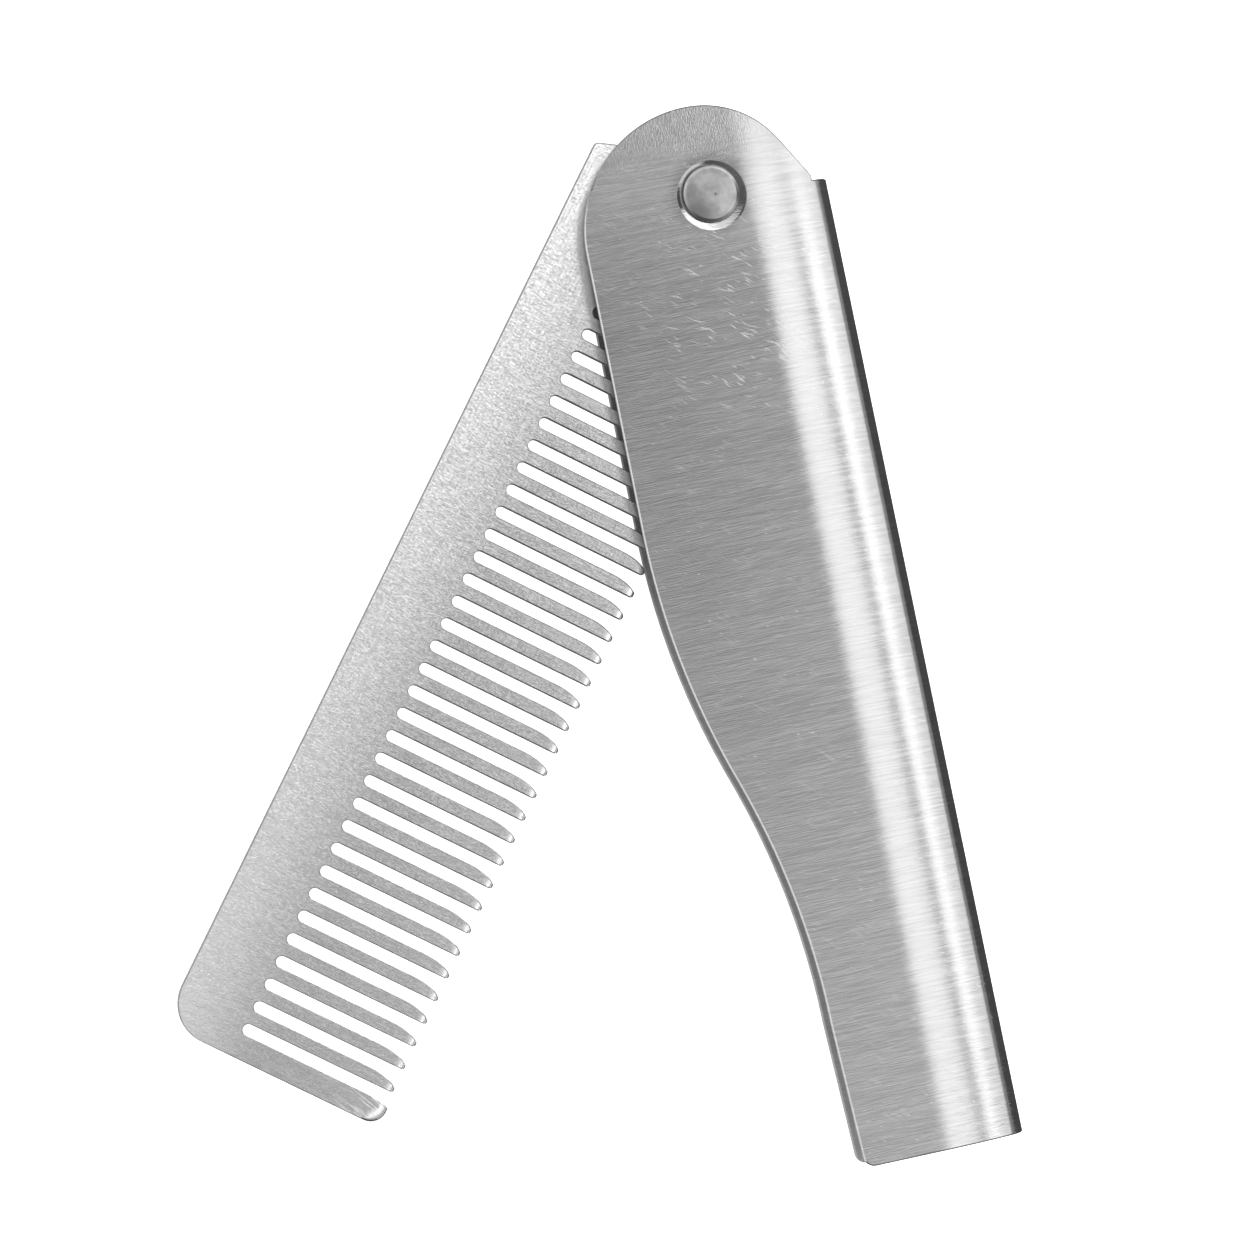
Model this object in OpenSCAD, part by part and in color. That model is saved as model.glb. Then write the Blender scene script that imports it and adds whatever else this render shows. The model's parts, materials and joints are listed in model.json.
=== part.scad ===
// Folding beard comb: a toothed steel blade that folds into a handle of one folded sheet.
// The comb lies on its rear wall, on the plane z = 0. The pivot is the Z axis. The handle
// runs towards -Y with its rounded spine on the +X side, and it is open on the -X side.

/* [Handle] */
// Overall thickness of the folded handle
case_h = 6.0; // [5.6:0.1:7]
// Thickness of the handle's sheet
sheet_t = 0.8; // [0.6:0.1:0.8]
// Distance from the pivot to the handle's free end
case_reach = 101; // [100.9:0.1:104]
// Distance from the pivot to the outside of the spine
spine_x = 12.5; // [12.4:0.05:13]
// In-plane width of the rounded fold
fold_w = 7.2; // [6:0.1:8]
// Outer radius at the nose of the fold
fold_r = 2.0; // [1.7:0.05:2.3]
// Height of the spine's top end, measured from the pivot
spine_top = -0.45; // [-1:0.05:-0.45]

/* [Handle outline] */
// Radius of the head on its open side
head_r = 13.1; // [13:0.1:13.4]
// Radius of the head on its spine side
shoulder_r = 10.5; // [10.3:0.1:11]
// Height of the head above the pivot
head_top = 9.3; // [9.1:0.1:9.8]
// Sideways offset of the head's centre from the pivot
head_x = -0.8; // [-1:0.1:-0.6]
// Slope of the head's flank on the spine side, in degrees
flank_angle = 58; // [56:1:60]
// Where the flank stops, measured from the pivot
flank_end_x = 10.8; // [10.7:0.05:11]
// Distance from the pivot to the widest place of the open side
wide_x = 14.05; // [14:0.05:14.5]
// Distance from the pivot to the open side at the narrow grip
narrow_x = 5.2; // [4.5:0.1:6.5]
// Where the open side starts to curve in
curve_start = 33; // [30:1:36]
// Where the open side has curved all the way in
curve_end = 86; // [82:1:90]
// Distance from the pivot to the open side at the free end
end_x = 4.7; // [4:0.1:5.2]
// Radius of the free end's corner
end_corner_r = 1.1; // [0.5:0.1:2]

/* [Blade] */
// Thickness of the blade
blade_t = 1.0; // [0.8:0.1:1.2]
// Distance from the pivot to the blade's end
blade_reach = 100.7; // [100.5:0.1:100.7]
// Distance from the pivot line to the blade's back
back_x = 13.0; // [12.8:0.1:13.1]
// Distance from the pivot line to the tips of the teeth
tip_x = 11.1; // [10.8:0.05:11.15]
// Number of slots between the teeth
slot_count = 33; // [20:1:33]
// Distance from one slot to the next
slot_pitch = 2.552; // [2.3:0.001:2.552]
// Width of a slot
slot_w = 1.2; // [1:0.05:1.3]
// Distance from the pivot to the middle of the first slot
first_slot = 15.92; // [15:0.02:15.94]
// Distance from the pivot line to the slots' round ends
root_x = 5.5; // [4:0.1:6.5]
// Radius of the corner between the blade's back and its end
back_corner_r = 4.3; // [2:0.1:6]
// Radius of the guard tooth's corner
guard_corner_r = 1.7; // [0.5:0.1:1.9]
// How far the guard tooth stands past the other teeth
guard_extra = 0.25; // [0:0.05:0.3]
// Radius of the round part of the tang
tang_r = 8.6; // [8:0.1:8.8]
// Slope of the tang's end, in degrees
tang_slope = 20; // [16:1:20]
// Angle from closed at which the blade rests
rest_open = 37.6; // [0:0.1:180]

/* [Pivot] */
// Radius of the flat rivet heads
rivet_head_r = 2.88; // [2.6:0.02:3]
// Radius of the recesses that the heads sit in
recess_r = 3.55; // [3.4:0.05:3.7]
// Depth of the recesses
recess_d = 0.5; // [0.4:0.05:0.6]
// Radius of the raised land behind each recess
land_r = 4.4; // [4.2:0.1:4.8]
// Outer radius of the barrel that the blade turns on
barrel_r = 2.0; // [1.8:0.05:2.2]
// Radius of the post pressed into the barrel
post_r = 1.25; // [1:0.05:1.4]
// Radial clearance between the barrel and what it passes through
bore_clear = 0.05; // [0.02:0.01:0.1]
// Outer radius of the spacer rings
spacer_r = 4.3; // [4:0.1:4.8]
// Axial play on each side of the blade
side_play = 0.05; // [0.03:0.01:0.1]
// Height of the disc spring between its two faces
spring_h = 0.45; // [0.4:0.05:0.6]
// Thickness of the disc spring
spring_t = 0.25; // [0.2:0.05:0.3]

/* [Hidden] */
$fn = 96;
mid_z = case_h / 2;
over = 1;
// Fold: two shoulder arcs and a nose arc, tangent to each other
fold_x = spine_x - fold_w;
shoulder_fold_r = (pow(fold_w, 2) + pow(mid_z, 2) - 2 * fold_w * fold_r) / (2 * (mid_z - fold_r));
shoulder_drop = shoulder_fold_r - mid_z;
tangent_angle = atan((fold_w - fold_r) / shoulder_drop);
// Head: a wide arc on the open side, a tighter arc and a straight flank on the spine side
head_y = head_top - head_r;
shoulder_y = head_top - shoulder_r;
flank_start_x = head_x + shoulder_r * sin(flank_angle);
flank_start_y = shoulder_y + shoulder_r * cos(flank_angle);
flank_end_y = flank_start_y - (flank_end_x - flank_start_x) * tan(flank_angle);
// Open side: two equal arcs, tangent where they meet
curve_in = wide_x - narrow_x;
curve_run = curve_end - curve_start;
curve_r = (pow(curve_in, 2) + pow(curve_run, 2)) / (4 * curve_in);
curve_angle = asin(curve_run / (2 * curve_r));
// Pivot stack, from the rear wall to the front wall
land_z = recess_d + sheet_t - 0.1;
blade_low = mid_z - blade_t / 2;
blade_high = mid_z + blade_t / 2;
spring_top = blade_high + side_play + spring_h;
rear_head_gap = 0.1;
post_end = 0.9;
post_fit = 0.02;
head_chamfer = 0.15;
tip_flare = 0.45;
tip_flare_l = 2.6;
// Blade: where the tang's sloped end meets its round part, and where the guard tooth begins
tang_corner_y = -0.15;
tang_corner_r = 0.6;
tang_corner_drop = tang_corner_r * (1 / cos(tang_slope) - tan(tang_slope));
tang_end_gap = (tang_corner_y + back_x * tan(tang_slope)) * cos(tang_slope);
tang_meets = 90 + tang_slope - acos(tang_end_gap / tang_r);
tang_side = 4;
guard_top = first_slot + (slot_count - 1) * slot_pitch + slot_w / 2 + tip_flare;

// Section across the fold, moved inwards by inset, with x across the handle and y upwards
module fold_section(inset) {
    shoulder = shoulder_fold_r - inset;
    tangent_x = shoulder * sin(tangent_angle);
    translate([-wide_x - over, inset]) square([wide_x + over + fold_x, case_h - 2 * inset]);
    intersection() {
        translate([fold_x, mid_z - shoulder_drop]) circle(shoulder, $fn = 360);
        translate([fold_x, mid_z + shoulder_drop]) circle(shoulder, $fn = 360);
        translate([fold_x, 0]) square([tangent_x, case_h]);
    }
    intersection() {
        translate([spine_x - fold_r, mid_z]) circle(fold_r - inset);
        translate([fold_x + tangent_x, 0]) square([fold_w, case_h]);
    }
}

// Points along an arc about c, from angle a0 to angle a1 in n steps
function arc(c, r, a0, a1, n) = [for (i = [0:n]) let (a = a0 + (a1 - a0) * i / n) c + r * [cos(a), sin(a)]];

// Flat outline of the handle seen from the front
module handle_outline() {
    right = spine_x + over;
    polygon(concat(
        arc([head_x, head_y], head_r, 180, 90, 24),
        arc([head_x, shoulder_y], shoulder_r, 88, 90 - flank_angle, 14),
        [[flank_end_x, flank_end_y], [flank_end_x, spine_top], [right, spine_top],
         [right, -case_reach]],
        arc([end_corner_r - end_x, end_corner_r - case_reach], end_corner_r, 270, 184, 6),
        arc([-narrow_x - curve_r, -curve_end], curve_r, 0, curve_angle, 12),
        arc([curve_r - wide_x, -curve_start], curve_r, 180 + curve_angle * 11 / 12, 180, 11)));
}

// One folded sheet with a coined seat for a rivet head in each wall
module handle_case() {
    color("silver") difference() {
        union() {
            intersection() {
                translate([0, head_top + over, 0]) rotate([90, 0, 0])
                    linear_extrude(case_reach + head_top + 2 * over) difference() {
                        fold_section(0);
                        fold_section(sheet_t);
                    }
                linear_extrude(case_h) handle_outline();
            }
            translate([0, 0, sheet_t / 2]) cylinder(r = land_r, h = land_z - sheet_t / 2);
            translate([0, 0, case_h - land_z]) cylinder(r = land_r, h = land_z - sheet_t / 2);
        }
        translate([0, 0, -over]) cylinder(r = recess_r, h = recess_d + over);
        translate([0, 0, case_h - recess_d]) cylinder(r = recess_r, h = recess_d + over);
        translate([0, 0, -over]) cylinder(r = barrel_r + bore_clear, h = case_h + 2 * over);
    }
}

// One slot, from its round end out past the tips, flared towards the next tooth's tip
module slot() {
    translate([slot_w / 2 - root_x, 0]) circle(slot_w / 2, $fn = 32);
    translate([slot_w / 2 - root_x, -slot_w / 2]) square([root_x + tip_x + over, slot_w]);
    polygon([[tip_x - tip_flare_l, -slot_w / 2], [tip_x - tip_flare_l / 2, -slot_w / 2 - tip_flare / 5],
             [tip_x, -slot_w / 2 - tip_flare], [tip_x + over, -slot_w / 2 - tip_flare],
             [tip_x + over, 0], [tip_x - tip_flare_l, 0]]);
}

// Flat outline of the blade in its closed place
module blade_outline() {
    guard_x = tip_x + guard_extra;
    difference() {
        polygon(concat(
            arc([tang_corner_r - back_x, tang_corner_y - tang_corner_drop], tang_corner_r, 180,
                90 + tang_slope, 6),
            arc([0, 0], tang_r, tang_meets, 0, 16),
            [[tang_r, -tang_side], [tip_x, -tang_side - tip_x + tang_r], [tip_x, -guard_top],
             [guard_x, -guard_top]],
            arc([guard_x - guard_corner_r, guard_corner_r - blade_reach], guard_corner_r, 0, -90, 8),
            arc([back_corner_r - back_x, back_corner_r - blade_reach], back_corner_r, 270, 180, 14)));
        for (i = [0:slot_count - 1]) translate([0, -first_slot - i * slot_pitch]) slot();
    }
}

// Toothed blade, turned from its closed place to where it rests
module comb_blade() {
    color("lightgray") rotate(-rest_open) translate([0, 0, blade_low]) linear_extrude(blade_t)
        difference() {
            blade_outline();
            circle(barrel_r + bore_clear);
        }
}

// Front head and the post behind it
module rivet_post() {
    head_low = case_h - recess_d;
    color("gainsboro") rotate_extrude()
        polygon([[0, post_end], [post_r, post_end], [post_r, head_low], [rivet_head_r, head_low],
                 [rivet_head_r, case_h - head_chamfer], [rivet_head_r - head_chamfer, case_h],
                 [0, case_h]]);
}

// Rear head and the tube that takes the post and carries the blade
module rivet_barrel() {
    head_low = rear_head_gap;
    tube_top = case_h - recess_d - post_fit;
    color("darkgray") rotate_extrude()
        polygon([[0, head_low], [rivet_head_r - head_chamfer, head_low],
                 [rivet_head_r, head_low + head_chamfer], [rivet_head_r, recess_d],
                 [barrel_r, recess_d], [barrel_r, tube_top], [post_r + post_fit, tube_top],
                 [post_r + post_fit, post_end - post_fit], [0, post_end - post_fit]]);
}

// Ring around the barrel between two heights
module spacer(low, high) {
    translate([0, 0, low]) difference() {
        cylinder(r = spacer_r, h = high - low);
        translate([0, 0, -over]) cylinder(r = barrel_r + bore_clear, h = high - low + 2 * over);
    }
}

module front_spacer() {
    color("dimgray") spacer(spring_top, case_h - land_z);
}

module rear_spacer() {
    color("dimgray") spacer(land_z, blade_low - side_play);
}

// Cone-shaped ring that presses the blade away from the front spacer
module disc_spring() {
    low = blade_high + side_play;
    inner = barrel_r + bore_clear;
    color("slategray") rotate_extrude()
        polygon([[inner, spring_top - spring_t], [spacer_r, low], [spacer_r, low + spring_t],
                 [inner, spring_top]]);
}

handle_case();
comb_blade();
rivet_post();
rivet_barrel();
front_spacer();
disc_spring();
rear_spacer();
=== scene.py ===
"""Visible pieces, finishes, lights and camera of a folding beard comb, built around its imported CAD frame.

The comb lies on its rear wall on the plane z = 0. Its pivot is the Z axis, the handle runs towards -Y with its
rounded spine on the +X side, and everything is in metres.
"""

import json
import math

import bmesh
import bpy
import numpy as np
from bpy.props import FloatProperty, FloatVectorProperty, IntProperty, PointerProperty
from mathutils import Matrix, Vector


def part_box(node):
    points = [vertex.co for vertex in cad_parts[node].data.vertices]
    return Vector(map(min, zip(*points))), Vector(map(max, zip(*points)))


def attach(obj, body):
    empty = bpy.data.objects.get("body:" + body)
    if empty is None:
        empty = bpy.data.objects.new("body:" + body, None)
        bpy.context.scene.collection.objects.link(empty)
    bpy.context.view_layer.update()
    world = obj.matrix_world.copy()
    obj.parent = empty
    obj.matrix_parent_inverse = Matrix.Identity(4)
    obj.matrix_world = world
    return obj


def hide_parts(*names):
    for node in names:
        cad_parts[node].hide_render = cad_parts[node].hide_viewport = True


bl_info = {
    "name": "Folding beard comb",
    "version": (1, 0, 0),
    "blender": (4, 5, 0),
    "location": "3D View > Sidebar > Comb",
    "description": "Builds the pieces, finishes and studio of a folding steel beard comb",
    "category": "Object",
}

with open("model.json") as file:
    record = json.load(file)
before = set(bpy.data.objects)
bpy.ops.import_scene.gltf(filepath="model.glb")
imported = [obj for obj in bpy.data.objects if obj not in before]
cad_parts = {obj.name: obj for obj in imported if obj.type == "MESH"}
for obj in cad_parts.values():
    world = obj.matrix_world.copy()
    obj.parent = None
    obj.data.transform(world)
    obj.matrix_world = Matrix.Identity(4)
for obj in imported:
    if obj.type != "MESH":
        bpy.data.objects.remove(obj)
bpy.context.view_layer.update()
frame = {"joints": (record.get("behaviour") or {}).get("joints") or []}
CASE_LOW, CASE_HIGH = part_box("handle_case")
HEAD_LOW, HEAD_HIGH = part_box("rivet_post")
BLADE_LOW, BLADE_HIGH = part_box("comb_blade")
SPRING_LOW, SPRING_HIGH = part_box("disc_spring")
FRONT_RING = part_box("front_spacer")
REAR_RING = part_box("rear_spacer")
REST_OPEN = -math.radians(frame["joints"][0]["range_deg"][0])
MM = 0.001


def length(name, text, default_mm):
    """A length property whose default is given in millimetres."""
    return FloatProperty(name=name, description=text, default=default_mm * MM, unit="LENGTH", precision=5)


def angle(name, text, degrees):
    """An angle property whose default is given in degrees."""
    return FloatProperty(name=name, description=text, default=math.radians(degrees), subtype="ANGLE")


def fraction(name, text, default):
    """A number from 0 to 1."""
    return FloatProperty(name=name, description=text, default=default, min=0, max=1, subtype="FACTOR")


def tint(name, text, level):
    """A colour property whose default is a grey."""
    return FloatVectorProperty(name=name, description=text, default=(level,) * 3, subtype="COLOR", min=0, max=1)


class HandleSizes(bpy.types.PropertyGroup):
    """Sizes of the folded handle."""

    sheet: length("Sheet", "Thickness of the handle's sheet", 0.8)
    fold_width: length("Fold width", "In-plane width of the rounded fold", 9.3)
    nose: length("Nose radius", "Outer radius at the nose of the fold", 2.0)
    spine_top: length("Spine top", "Height of the spine's top end above the pivot", -0.45)
    head: length("Head radius", "Radius of the head on its open side", 13.1)
    shoulder: length("Shoulder radius", "Radius of the head on its spine side", 10.5)
    head_x: length("Head offset", "Sideways offset of the head's centre from the pivot", -0.8)
    flank: angle("Flank slope", "Slope of the head's flank on the spine side", 58)
    flank_end: length("Flank end", "Where the flank stops, measured from the pivot", 10.8)
    narrow: length("Narrow grip", "Distance from the pivot line to the open side at the narrow grip", 5.2)
    curve_start: length("Curve start", "Where the open side starts to curve in", 33)
    curve_end: length("Curve end", "Where the open side has curved all the way in", 86)
    end: length("Free end", "Distance from the pivot line to the open side at the free end", 4.7)
    corner: length("End corner", "Radius of the free end's corner", 1.1)
    chamfer: length("Edge", "Width of the broken edge round the sheet", 0.13)
    steel: tint("Steel", "Colour of the handle's steel", 0.5)
    roughness: fraction("Roughness", "How far the handle's steel spreads reflections", 0.17)
    grain: length("Grain", "Depth of the finest brushing", 0.010)


class BladeSizes(bpy.types.PropertyGroup):
    """Sizes of the toothed blade."""

    slots: IntProperty(name="Slots", description="Number of slots between the teeth", default=33, min=1)
    back: length("Back", "Distance from the pivot line to the blade's back", 13.0)
    tip: length("Tips", "Distance from the pivot line to the tips of the teeth", 11.1)
    reach: length("Reach", "Distance from the pivot to the blade's end", 100.7)
    pitch: length("Pitch", "Distance from one slot to the next", 2.552)
    slot: length("Slot", "Width of a slot", 1.2)
    first: length("First slot", "Distance from the pivot to the middle of the first slot", 15.92)
    root: length("Slot root", "Distance from the pivot line to the slots' round ends", 5.5)
    flare: length("Tip flare", "How far a tip leans away from the pivot", 0.6)
    bullnose: length("Rounded tips", "Length over which the tips thin down", 0.85)
    back_corner: length("Back corner", "Radius of the corner between back and end", 4.3)
    guard_corner: length("Guard corner", "Radius of the guard tooth's corner", 1.7)
    guard_extra: length("Guard", "How far the guard tooth stands past the others", 0.25)
    tang: length("Tang", "Radius of the round part of the tang", 8.6)
    tang_slope: angle("Tang slope", "Slope of the tang's end", 20)
    chamfer: length("Edge", "Width of the broken edge round the blade", 0.08)
    steel: tint("Steel", "Colour of the blade's steel", 0.76)
    roughness: fraction("Roughness", "How far the blade's steel spreads reflections", 0.2)
    grain: length("Grain", "Depth of the finest brushing", 0.010)


class PivotSizes(bpy.types.PropertyGroup):
    """Sizes of the rivet, its seats and the rings under it."""

    recess: length("Recess radius", "Radius of the recesses that the rivet heads sit in", 3.55)
    dish: length("Dish radius", "Radius at the foot of the recesses' sloping walls", 2.93)
    sag: length("Recess sag", "How far the edge of the recesses lies off the pivot, towards the free end", 0.17)
    recess_depth: length("Recess depth", "Depth of the recesses", 0.5)
    land: length("Land radius", "Radius of the raised land behind each recess", 4.4)
    barrel: length("Barrel radius", "Radius of the barrel that the blade turns on", 2.0)
    post: length("Post radius", "Radius of the post pressed into the barrel", 1.25)
    clearance: length("Clearance", "Clearance round the barrel", 0.05)
    bevel: length("Head bevel", "Width of the bright bevel round a rivet head", 0.26)
    crown: length("Head crown", "Height of a rivet head's crown", 0.05)
    steel: tint("Steel", "Colour of the rivet's steel", 0.46)
    spring: tint("Spring", "Colour of the disc spring", 0.3)
    nylon: tint("Nylon", "Colour of the spacer rings", 0.03)


class StudioSizes(bpy.types.PropertyGroup):
    """Camera and lights."""

    camera: FloatVectorProperty(
        name="Camera", description="Place of the camera", subtype="XYZ", unit="LENGTH",
        default=(-0.07955, -0.05247, 0.49271), precision=5
    )
    lens: FloatProperty(name="Lens", description="Focal length in millimetres", default=139.3, min=20)
    turn: FloatVectorProperty(
        name="Camera turn", description="Rotation of the camera", subtype="EULER",
        default=(math.radians(2.7395), math.radians(-6.7848), math.radians(-11.6836)), precision=5
    )
    floor: tint("Floor", "Colour of the floor", 0.95)
    glow: FloatProperty(name="Floor glow", description="Strength of the floor's own light", default=1.3, min=0)
    light: FloatProperty(name="Lights", description="Strength of the softboxes together", default=1.24, min=0)
    room: FloatProperty(name="Room", description="Strength of the dim light from all round", default=0.1, min=0)


# ------------------------------------------------------------------ mesh work


def skin(name, patches, body, replaced):
    """Puts grids into one closed mesh: each patch is an (n, m, 3) array whose neighbours in both directions make the
    quads. Points that coincide are merged, and the faces are turned outwards."""
    points, faces, start = [], [], 0
    for patch in patches:
        n, m = patch.shape[:2]
        index = start + np.arange(n * m).reshape(n, m)
        corners = (index[:-1, :-1], index[:-1, 1:], index[1:, 1:], index[1:, :-1])
        faces.append(np.stack([c.ravel() for c in corners], axis=1))
        points.append(patch.reshape(-1, 3))
        start += n * m
    mesh = bpy.data.meshes.new(name)
    mesh.from_pydata(np.concatenate(points).tolist(), [], np.concatenate(faces).tolist())
    work = bmesh.new()
    work.from_mesh(mesh)
    bmesh.ops.remove_doubles(work, verts=work.verts, dist=0.002 * MM)
    bmesh.ops.recalc_face_normals(work, faces=work.faces)
    loose = sum(not edge.is_manifold for edge in work.edges)
    work.to_mesh(mesh)
    work.free()
    if loose:
        raise RuntimeError(f"{name} has {loose} edges that aren't closed")
    mesh.polygons.foreach_set("use_smooth", np.ones(len(mesh.polygons), bool))
    mesh.set_sharp_from_angle(angle=math.radians(26))
    piece = bpy.data.objects.new(name, mesh)
    bpy.context.scene.collection.objects.link(piece)
    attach(piece, body)
    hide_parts(*replaced)
    return piece


def line(start, end, count, normal):
    """Points evenly along a straight line, without its start, as rows of x, y, normal x, normal y."""
    t = np.linspace(0, 1, count + 1)[1:, None]
    spot = (1 - t) * np.array(start) + t * np.array(end)
    return np.hstack([spot, np.broadcast_to(normal, spot.shape)])


def arc(centre, radius, start, end, count, side=1):
    """Points evenly round an arc, without its start. The normal is the radius, or its opposite if side is -1."""
    a = np.linspace(start, end, count + 1)[1:]
    ray = np.stack([np.cos(a), np.sin(a)], axis=1)
    return np.hstack([np.array(centre) + radius * ray, side * ray])


def mitre(first, second):
    """Normal at a corner between two normals, long enough to keep both sides parallel when it is scaled."""
    first, second = np.array(first), np.array(second)
    return (first + second) / (1 + first @ second)


def moved_in(rows, inset):
    """Outline rows of x, y and normal, moved inwards along the normals."""
    return rows[:, :2] - inset * rows[:, 2:]


def rays(loop, centre):
    """Unit vectors from a centre to each point of a loop."""
    away = loop - centre
    return away / np.linalg.norm(away, axis=1)[:, None]


def annulus(inner, outer, rings):
    """Grid of straight lines from an inner loop of points to an outer one."""
    t = np.linspace(0, 1, rings + 1)[:, None, None]
    return (1 - t) * inner + t * outer


def broken(profile, edge):
    """A closed profile with each corner cut: a point is replaced by two, one a cut's width back along each side."""
    spot = np.array(profile)
    ahead = np.roll(spot, -1, axis=0) - spot
    ahead = ahead / np.linalg.norm(ahead, axis=1)[:, None]
    return np.stack([spot - edge * np.roll(ahead, 1, axis=0), spot + edge * ahead], axis=1).reshape(-1, 2)


def revolve(profile, steps=120):
    """A profile of radius and height turned about the Z axis. It starts and ends on the axis, or it is closed."""
    profile = np.array(profile)
    r, z = (np.concatenate([profile, profile[:1]]) if profile[0, 0] > 0 else profile).T
    a = np.linspace(0, 2 * np.pi, steps + 1)[:, None]
    return np.stack([r * np.cos(a), r * np.sin(a), np.broadcast_to(z, (steps + 1, len(z)))], axis=2)


# ------------------------------------------------------------------ handle

HEAD_SEAM = -6 * MM  # where the head's grid meets the body's
LIP = 0.05 * MM  # how far the rims of a recess and of the land behind it stand outside them
HOLD = 0.04 * MM  # narrow flat ring that keeps the flat's shading off the sloping wall
DISH_DEPTH = 0.36 * MM  # depth of a recess's sloping wall halfway round
DISH_LEAN = 0.17  # how much deeper that wall is on the open side, and shallower on the spine's side
DISH_FOOT = 0.02 * MM  # how far the wall goes in from the slope's foot to the recess's floor
SEAT_FLOOR = 0.7 * MM  # thickness of the sheet under a recess
SEAT_REACH = 4.2 * MM  # distance from the pivot within which faces belong to the seat
FOLD_SIDE = 5.6 * MM  # distance from the spine within which faces count as the fold


class Fold:
    """The handle's section. A place s is measured round the sheet's outer face from where the front wall starts to
    bend: flat before 0, then a wide arc, then the tight nose, then the same again backwards to the rear wall."""

    def __init__(self, sizes):
        self.height = CASE_HIGH.z
        self.spine = CASE_HIGH.x
        self.start = self.spine - sizes.fold_width
        half, width, nose = self.height / 2, sizes.fold_width, sizes.nose
        self.nose = nose
        self.wide = (width**2 + half**2 - 2 * width * nose) / (2 * (half - nose))
        self.lean = math.atan((width - nose) / (self.wide - half))
        self.bend = self.wide * self.lean
        self.middle = self.bend + nose * (math.pi / 2 - self.lean)

    def along(self, x):
        """Place round the sheet of a point at x on the front wall."""
        x = np.asarray(x) - self.start
        return np.where(x > 0, self.wide * np.arcsin(np.clip(x / self.wide, 0, 1)), x)

    def point(self, grid, depth, rear):
        """A grid of places (s, y), folded at a depth below the outer face, or mirrored onto the rear wall."""
        s, y = grid[..., 0], grid[..., 1]
        nose = s > self.bend
        lean = np.where(nose, self.lean + (s - self.bend) / self.nose, np.clip(s, 0, None) / self.wide)
        radius = np.where(nose, self.nose, self.wide) - depth
        x = np.where(nose, self.spine - self.nose, self.start) + radius * np.sin(lean) + np.minimum(s, 0)
        z = np.where(nose, self.height / 2, self.height - self.wide) + radius * np.cos(lean)
        return np.stack([x, np.broadcast_to(y, x.shape), self.height - z if rear else z], axis=-1)


def handle_outline(sizes, fold, floor_s, spine_s, seam):
    """Half of the blank's outline in four runs, as rows of s, y and normal: the free end from the nose outwards, the
    open side up to the seam under the head, the head and its flank, and the spine's top to the middle of the nose."""
    reach, wide, top = -CASE_LOW.y, -CASE_LOW.x, CASE_HIGH.y
    floor = np.stack([floor_s, 0 * floor_s - reach, 0 * floor_s, 0 * floor_s - 1], axis=1)
    corner = arc((sizes.corner - sizes.end, sizes.corner - reach), sizes.corner, 1.5 * math.pi, math.radians(184), 8)
    curve_in, run = wide - sizes.narrow, sizes.curve_end - sizes.curve_start
    curve = (curve_in**2 + run**2) / (4 * curve_in)
    sweep = math.asin(run / (2 * curve))
    side_low, side_high = (-wide, -sizes.curve_start), (sizes.head_x - sizes.head, top - sizes.head)
    seam_x = np.interp(seam, (side_low[1], side_high[1]), (side_low[0], side_high[0]))
    side = np.concatenate([
        corner,
        line(corner[-1, :2], (-sizes.narrow, -sizes.curve_end), 4, (-1, -0.036)),
        arc((-sizes.narrow - curve, -sizes.curve_end), curve, 0, sweep, 22, -1),
        arc((curve - wide, -sizes.curve_start), curve, math.pi + sweep, math.pi, 22),
        line(side_low, (seam_x, seam), 8, (-1, 0)),
    ])
    rise = math.pi / 2 - sizes.flank
    shoulder = np.array([sizes.head_x, top - sizes.shoulder])
    flank = shoulder + sizes.shoulder * np.array([math.cos(rise), math.sin(rise)])
    flank_end = (sizes.flank_end, flank[1] - (sizes.flank_end - flank[0]) * math.tan(sizes.flank))
    flank_normal = (math.cos(rise), math.sin(rise))
    head = np.concatenate([
        line((seam_x, seam), side_high, 3, (-1, 0)),
        arc((sizes.head_x, top - sizes.head), sizes.head, math.pi, math.pi / 2, 36),
        arc(shoulder, sizes.shoulder, math.pi / 2, rise, 24),
        line(flank, flank_end, 8, flank_normal),
    ])
    head[-1, 2:] = mitre(flank_normal, (1, 0))
    spine = np.stack([spine_s, 0 * spine_s + sizes.spine_top, 0 * spine_s, 0 * spine_s + 1], axis=1)
    spine[0, 2:] = mitre((1, 0), (0, 1))
    for run_rows in (side, head):
        run_rows[:, 0] = fold.along(run_rows[:, 0])
    return floor, side, head, spine


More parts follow.
